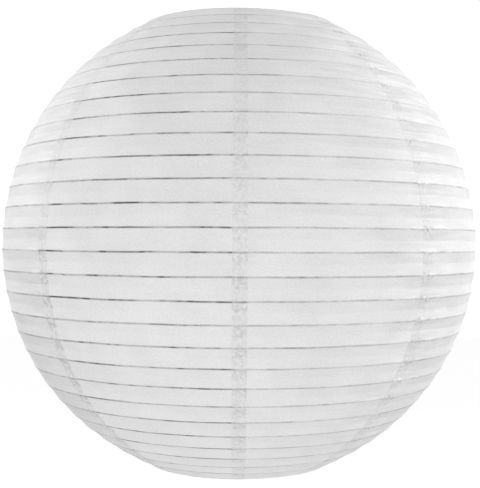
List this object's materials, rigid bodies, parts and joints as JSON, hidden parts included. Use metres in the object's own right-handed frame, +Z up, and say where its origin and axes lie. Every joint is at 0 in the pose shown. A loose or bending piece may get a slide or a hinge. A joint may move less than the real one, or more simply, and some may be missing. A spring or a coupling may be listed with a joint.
{
  "type": "paper lantern",
  "caption": "Round white pleated paper lantern on thin wire hoops, hung by a bent wire expander; the shade folds flat upwards.",
  "frame": {"origin": "centre of the hanging eye, just above the top ring's plane, on the shade's axis", "axes": "+Z up along the shade's axis; -Y towards the front, where one paper seam runs down the middle; the expander lies in the XZ plane"},
  "size_m": [0.3508, 0.3508, 0.339],
  "materials": {
    "gore_paper": "matt white tissue paper",
    "hoop_wire": "thin drawn steel wire",
    "end_ring_wire": "drawn steel wire",
    "expander_wire": "bright drawn steel wire"
  },
  "bodies": {
    "hanger": {"wire_expander": "expander_wire", "top_ring": "end_ring_wire", "paper_gore_1": "gore_paper", "paper_gore_2": "gore_paper", "paper_gore_3": "gore_paper", "paper_gore_4": "gore_paper", "paper_gore_5": "gore_paper", "paper_gore_6": "gore_paper", "paper_gore_7": "gore_paper", "paper_gore_8": "gore_paper"},
    "hoop_01": {"wire_hoop_01": "hoop_wire"},
    "hoop_02": {"wire_hoop_02": "hoop_wire"},
    "hoop_03": {"wire_hoop_03": "hoop_wire"},
    "hoop_04": {"wire_hoop_04": "hoop_wire"},
    "hoop_05": {"wire_hoop_05": "hoop_wire"},
    "hoop_06": {"wire_hoop_06": "hoop_wire"},
    "hoop_07": {"wire_hoop_07": "hoop_wire"},
    "hoop_08": {"wire_hoop_08": "hoop_wire"},
    "hoop_09": {"wire_hoop_09": "hoop_wire"},
    "hoop_10": {"wire_hoop_10": "hoop_wire"},
    "hoop_11": {"wire_hoop_11": "hoop_wire"},
    "hoop_12": {"wire_hoop_12": "hoop_wire"},
    "hoop_13": {"wire_hoop_13": "hoop_wire"},
    "hoop_14": {"wire_hoop_14": "hoop_wire"},
    "hoop_15": {"wire_hoop_15": "hoop_wire"},
    "hoop_16": {"wire_hoop_16": "hoop_wire"},
    "hoop_17": {"wire_hoop_17": "hoop_wire"},
    "hoop_18": {"wire_hoop_18": "hoop_wire"},
    "hoop_19": {"wire_hoop_19": "hoop_wire"},
    "hoop_20": {"wire_hoop_20": "hoop_wire"},
    "hoop_21": {"wire_hoop_21": "hoop_wire"},
    "hoop_22": {"wire_hoop_22": "hoop_wire"},
    "hoop_23": {"wire_hoop_23": "hoop_wire"},
    "hoop_24": {"wire_hoop_24": "hoop_wire"},
    "hoop_25": {"wire_hoop_25": "hoop_wire"},
    "hoop_26": {"wire_hoop_26": "hoop_wire"},
    "hoop_27": {"wire_hoop_27": "hoop_wire"},
    "bottom_end": {"bottom_ring": "end_ring_wire"}
  },
  "joints": [
    {"name": "collapse", "type": "slide", "parent": "hanger", "child": "bottom_end", "axis": [0, 0, 1], "range_m": [0, 0.2954], "deforming": ["paper_gore_1", "paper_gore_2", "paper_gore_3", "paper_gore_4", "paper_gore_5", "paper_gore_6", "paper_gore_7", "paper_gore_8"]},
    {"name": "hoop_01_slide", "type": "slide", "parent": "hanger", "child": "hoop_01", "axis": [0, 0, 1], "range_m": [0, 0.00651]},
    {"name": "hoop_02_slide", "type": "slide", "parent": "hanger", "child": "hoop_02", "axis": [0, 0, 1], "range_m": [0, 0.01379]},
    {"name": "hoop_03_slide", "type": "slide", "parent": "hanger", "child": "hoop_03", "axis": [0, 0, 1], "range_m": [0, 0.02198]},
    {"name": "hoop_04_slide", "type": "slide", "parent": "hanger", "child": "hoop_04", "axis": [0, 0, 1], "range_m": [0, 0.031]},
    {"name": "hoop_05_slide", "type": "slide", "parent": "hanger", "child": "hoop_05", "axis": [0, 0, 1], "range_m": [0, 0.0408]},
    {"name": "hoop_06_slide", "type": "slide", "parent": "hanger", "child": "hoop_06", "axis": [0, 0, 1], "range_m": [0, 0.05129]},
    {"name": "hoop_07_slide", "type": "slide", "parent": "hanger", "child": "hoop_07", "axis": [0, 0, 1], "range_m": [0, 0.06242]},
    {"name": "hoop_08_slide", "type": "slide", "parent": "hanger", "child": "hoop_08", "axis": [0, 0, 1], "range_m": [0, 0.07412]},
    {"name": "hoop_09_slide", "type": "slide", "parent": "hanger", "child": "hoop_09", "axis": [0, 0, 1], "range_m": [0, 0.08631]},
    {"name": "hoop_10_slide", "type": "slide", "parent": "hanger", "child": "hoop_10", "axis": [0, 0, 1], "range_m": [0, 0.09892]},
    {"name": "hoop_11_slide", "type": "slide", "parent": "hanger", "child": "hoop_11", "axis": [0, 0, 1], "range_m": [0, 0.11186]},
    {"name": "hoop_12_slide", "type": "slide", "parent": "hanger", "child": "hoop_12", "axis": [0, 0, 1], "range_m": [0, 0.12507]},
    {"name": "hoop_13_slide", "type": "slide", "parent": "hanger", "child": "hoop_13", "axis": [0, 0, 1], "range_m": [0, 0.13843]},
    {"name": "hoop_14_slide", "type": "slide", "parent": "hanger", "child": "hoop_14", "axis": [0, 0, 1], "range_m": [0, 0.15187]},
    {"name": "hoop_15_slide", "type": "slide", "parent": "hanger", "child": "hoop_15", "axis": [0, 0, 1], "range_m": [0, 0.16527]},
    {"name": "hoop_16_slide", "type": "slide", "parent": "hanger", "child": "hoop_16", "axis": [0, 0, 1], "range_m": [0, 0.17854]},
    {"name": "hoop_17_slide", "type": "slide", "parent": "hanger", "child": "hoop_17", "axis": [0, 0, 1], "range_m": [0, 0.19156]},
    {"name": "hoop_18_slide", "type": "slide", "parent": "hanger", "child": "hoop_18", "axis": [0, 0, 1], "range_m": [0, 0.20424]},
    {"name": "hoop_19_slide", "type": "slide", "parent": "hanger", "child": "hoop_19", "axis": [0, 0, 1], "range_m": [0, 0.21648]},
    {"name": "hoop_20_slide", "type": "slide", "parent": "hanger", "child": "hoop_20", "axis": [0, 0, 1], "range_m": [0, 0.22817]},
    {"name": "hoop_21_slide", "type": "slide", "parent": "hanger", "child": "hoop_21", "axis": [0, 0, 1], "range_m": [0, 0.23926]},
    {"name": "hoop_22_slide", "type": "slide", "parent": "hanger", "child": "hoop_22", "axis": [0, 0, 1], "range_m": [0, 0.24966]},
    {"name": "hoop_23_slide", "type": "slide", "parent": "hanger", "child": "hoop_23", "axis": [0, 0, 1], "range_m": [0, 0.25933]},
    {"name": "hoop_24_slide", "type": "slide", "parent": "hanger", "child": "hoop_24", "axis": [0, 0, 1], "range_m": [0, 0.26824]},
    {"name": "hoop_25_slide", "type": "slide", "parent": "hanger", "child": "hoop_25", "axis": [0, 0, 1], "range_m": [0, 0.27635]},
    {"name": "hoop_26_slide", "type": "slide", "parent": "hanger", "child": "hoop_26", "axis": [0, 0, 1], "range_m": [0, 0.28364]},
    {"name": "hoop_27_slide", "type": "slide", "parent": "hanger", "child": "hoop_27", "axis": [0, 0, 1], "range_m": [0, 0.29006]}
  ],
  "couplings": [
    {"joint": "hoop_01_slide", "follows": "collapse", "ratio": 0.021361},
    {"joint": "hoop_02_slide", "follows": "collapse", "ratio": 0.046013},
    {"joint": "hoop_03_slide", "follows": "collapse", "ratio": 0.073728},
    {"joint": "hoop_04_slide", "follows": "collapse", "ratio": 0.10428},
    {"joint": "hoop_05_slide", "follows": "collapse", "ratio": 0.13743},
    {"joint": "hoop_06_slide", "follows": "collapse", "ratio": 0.17296},
    {"joint": "hoop_07_slide", "follows": "collapse", "ratio": 0.21063},
    {"joint": "hoop_08_slide", "follows": "collapse", "ratio": 0.25022},
    {"joint": "hoop_09_slide", "follows": "collapse", "ratio": 0.29149},
    {"joint": "hoop_10_slide", "follows": "collapse", "ratio": 0.33417},
    {"joint": "hoop_11_slide", "follows": "collapse", "ratio": 0.37801},
    {"joint": "hoop_12_slide", "follows": "collapse", "ratio": 0.4227},
    {"joint": "hoop_13_slide", "follows": "collapse", "ratio": 0.46795},
    {"joint": "hoop_14_slide", "follows": "collapse", "ratio": 0.51343},
    {"joint": "hoop_15_slide", "follows": "collapse", "ratio": 0.5588},
    {"joint": "hoop_16_slide", "follows": "collapse", "ratio": 0.60372},
    {"joint": "hoop_17_slide", "follows": "collapse", "ratio": 0.64782},
    {"joint": "hoop_18_slide", "follows": "collapse", "ratio": 0.69074},
    {"joint": "hoop_19_slide", "follows": "collapse", "ratio": 0.73215},
    {"joint": "hoop_20_slide", "follows": "collapse", "ratio": 0.77175},
    {"joint": "hoop_21_slide", "follows": "collapse", "ratio": 0.80926},
    {"joint": "hoop_22_slide", "follows": "collapse", "ratio": 0.84447},
    {"joint": "hoop_23_slide", "follows": "collapse", "ratio": 0.87722},
    {"joint": "hoop_24_slide", "follows": "collapse", "ratio": 0.90737},
    {"joint": "hoop_25_slide", "follows": "collapse", "ratio": 0.93483},
    {"joint": "hoop_26_slide", "follows": "collapse", "ratio": 0.9595},
    {"joint": "hoop_27_slide", "follows": "collapse", "ratio": 0.98126}
  ]
}
